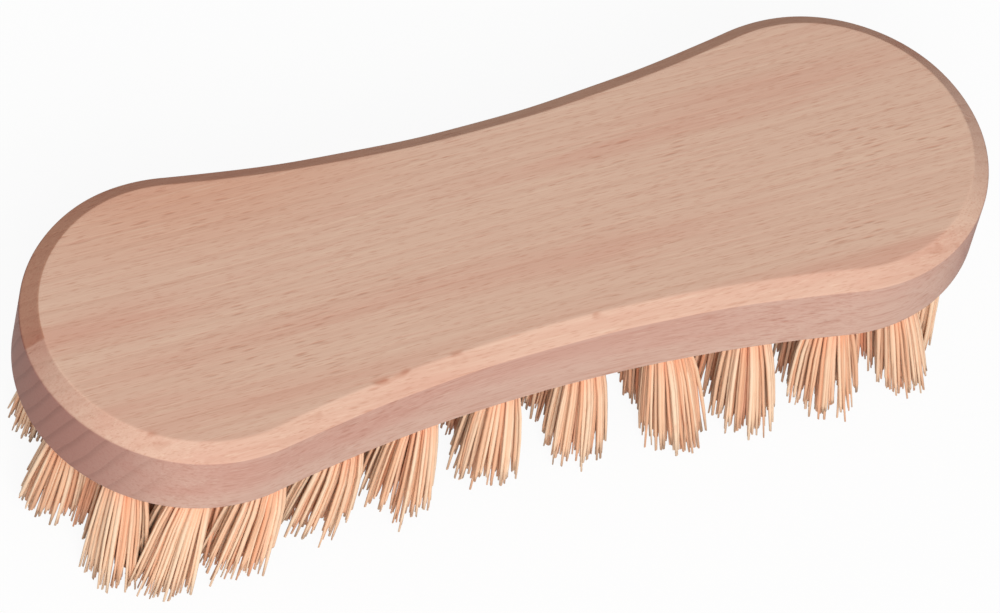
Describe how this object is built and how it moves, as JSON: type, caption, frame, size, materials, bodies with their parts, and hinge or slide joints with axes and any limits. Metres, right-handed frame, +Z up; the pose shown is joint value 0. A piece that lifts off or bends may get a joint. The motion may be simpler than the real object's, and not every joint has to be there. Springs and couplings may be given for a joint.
{
  "type": "scrub brush",
  "caption": "Waisted beech hand scrub brush: a bevelled block with stiff plant-fibre tufts, folded over flat wire anchors in leaning blind holes.",
  "frame": {"origin": "on the plane of the bristle tips, under the middle of the block", "axes": "+X along the block, +Y across it, +Z up from the bristle tips to the top of the block"},
  "size_m": [0.2167, 0.0792, 0.0475],
  "materials": {
    "beech": "sanded, untreated",
    "fibre": "raw plant fibre, cut ends",
    "anchor_wire": "drawn flat wire"
  },
  "bodies": {
    "root": {"brush_block": "beech", "wire_anchors": "anchor_wire", "tuft_01": "fibre", "tuft_02": "fibre", "tuft_03": "fibre", "tuft_04": "fibre", "tuft_05": "fibre", "tuft_06": "fibre", "tuft_07": "fibre", "tuft_08": "fibre", "tuft_09": "fibre", "tuft_10": "fibre", "tuft_11": "fibre", "tuft_12": "fibre", "tuft_13": "fibre", "tuft_14": "fibre", "tuft_15": "fibre", "tuft_16": "fibre", "tuft_17": "fibre", "tuft_18": "fibre", "tuft_19": "fibre", "tuft_20": "fibre", "tuft_21": "fibre", "tuft_22": "fibre", "tuft_23": "fibre", "tuft_24": "fibre", "tuft_25": "fibre", "tuft_26": "fibre", "tuft_27": "fibre", "tuft_28": "fibre", "tuft_29": "fibre", "tuft_30": "fibre", "tuft_31": "fibre", "tuft_32": "fibre", "tuft_33": "fibre", "tuft_34": "fibre", "tuft_35": "fibre", "tuft_36": "fibre", "tuft_37": "fibre", "tuft_38": "fibre", "tuft_39": "fibre", "tuft_40": "fibre", "tuft_41": "fibre", "tuft_42": "fibre", "tuft_43": "fibre", "tuft_44": "fibre", "tuft_45": "fibre", "tuft_46": "fibre", "tuft_47": "fibre", "tuft_48": "fibre", "tuft_49": "fibre", "tuft_50": "fibre", "tuft_51": "fibre", "tuft_52": "fibre", "tuft_53": "fibre", "tuft_54": "fibre", "tuft_55": "fibre", "tuft_56": "fibre", "tuft_57": "fibre", "tuft_58": "fibre"}
  },
  "joints": []
}
